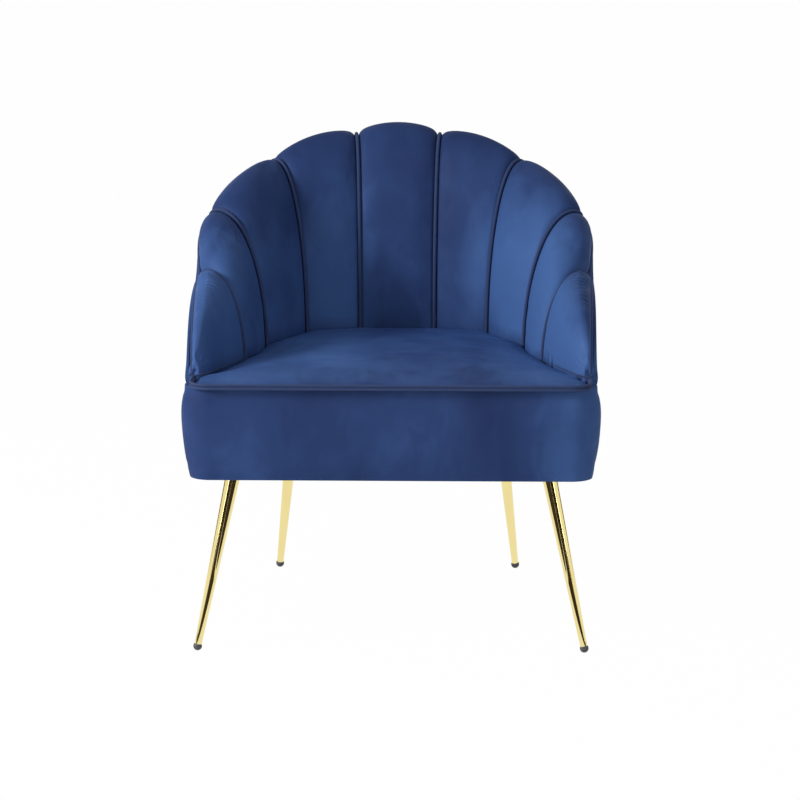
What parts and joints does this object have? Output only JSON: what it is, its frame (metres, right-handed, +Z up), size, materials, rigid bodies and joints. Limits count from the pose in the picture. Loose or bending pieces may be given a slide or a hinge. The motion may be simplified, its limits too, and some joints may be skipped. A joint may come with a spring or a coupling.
{
  "type": "wing tub chair",
  "caption": "Upholstered tub chair with a scalloped channel back that curves into low arms, a boxed seat base and slim splayed tapered metal legs.",
  "frame": {"origin": "on the floor, under the middle of the chair's bounding box", "axes": "+Z up, -Y towards the front of the seat, +X to the right as seen from the front"},
  "size_m": [0.6598, 0.6223, 0.782],
  "materials": {
    "velvet": "short-pile velvet, navy, with a soft sheen",
    "piping_velvet": "velvet-covered cord",
    "foam": "matt open-cell foam",
    "plywood": "plain plywood, unfinished",
    "webbing": "woven jute",
    "felt": "needled felt",
    "wadding": "white polyester wadding",
    "dust_cloth": "black non-woven cloth",
    "gold": "polished gold plating on steel tube",
    "glide_rubber": "satin grey plastic",
    "zinc": "zinc-plated steel"
  },
  "bodies": {
    "root": {"base_plate": "plywood", "front_rail": "plywood", "side_rail_left": "plywood", "side_rail_right": "plywood", "rear_rail": "plywood", "rib_left_1": "plywood", "rib_left_2": "plywood", "rib_left_3": "plywood", "rib_left_4": "plywood", "rib_right_1": "plywood", "rib_right_2": "plywood", "rib_right_3": "plywood", "rib_right_4": "plywood", "arm_post_left": "plywood", "arm_post_right": "plywood", "rim_rails": "plywood", "tack_rails": "plywood", "webbing_lengthwise": "webbing", "webbing_crosswise": "webbing", "felt_pad": "felt", "seat_foam": "foam", "seat_cover": "velvet", "seat_welt": "piping_velvet", "base_wadding": "wadding", "base_cover": "velvet", "dust_cover": "dust_cloth", "channel_foam_center": "foam", "channel_foam_left_1": "foam", "channel_foam_left_2": "foam", "channel_foam_left_3": "foam", "channel_foam_left_4": "foam", "channel_foam_right_1": "foam", "channel_foam_right_2": "foam", "channel_foam_right_3": "foam", "channel_foam_right_4": "foam", "channel_cover_center": "velvet", "channel_cover_left_1": "velvet", "channel_cover_left_2": "velvet", "channel_cover_left_3": "velvet", "channel_cover_left_4": "velvet", "channel_cover_right_1": "velvet", "channel_cover_right_2": "velvet", "channel_cover_right_3": "velvet", "channel_cover_right_4": "velvet", "seam_piping": "piping_velvet", "rim_piping": "piping_velvet", "outside_back": "velvet", "outside_arm_left": "velvet", "outside_arm_right": "velvet", "leg_front_left": "gold", "leg_front_right": "gold", "leg_rear_left": "gold", "leg_rear_right": "gold", "glide_front_left": "glide_rubber", "glide_front_right": "glide_rubber", "glide_rear_left": "glide_rubber", "glide_rear_right": "glide_rubber", "leg_screws": "zinc"}
  },
  "joints": []
}
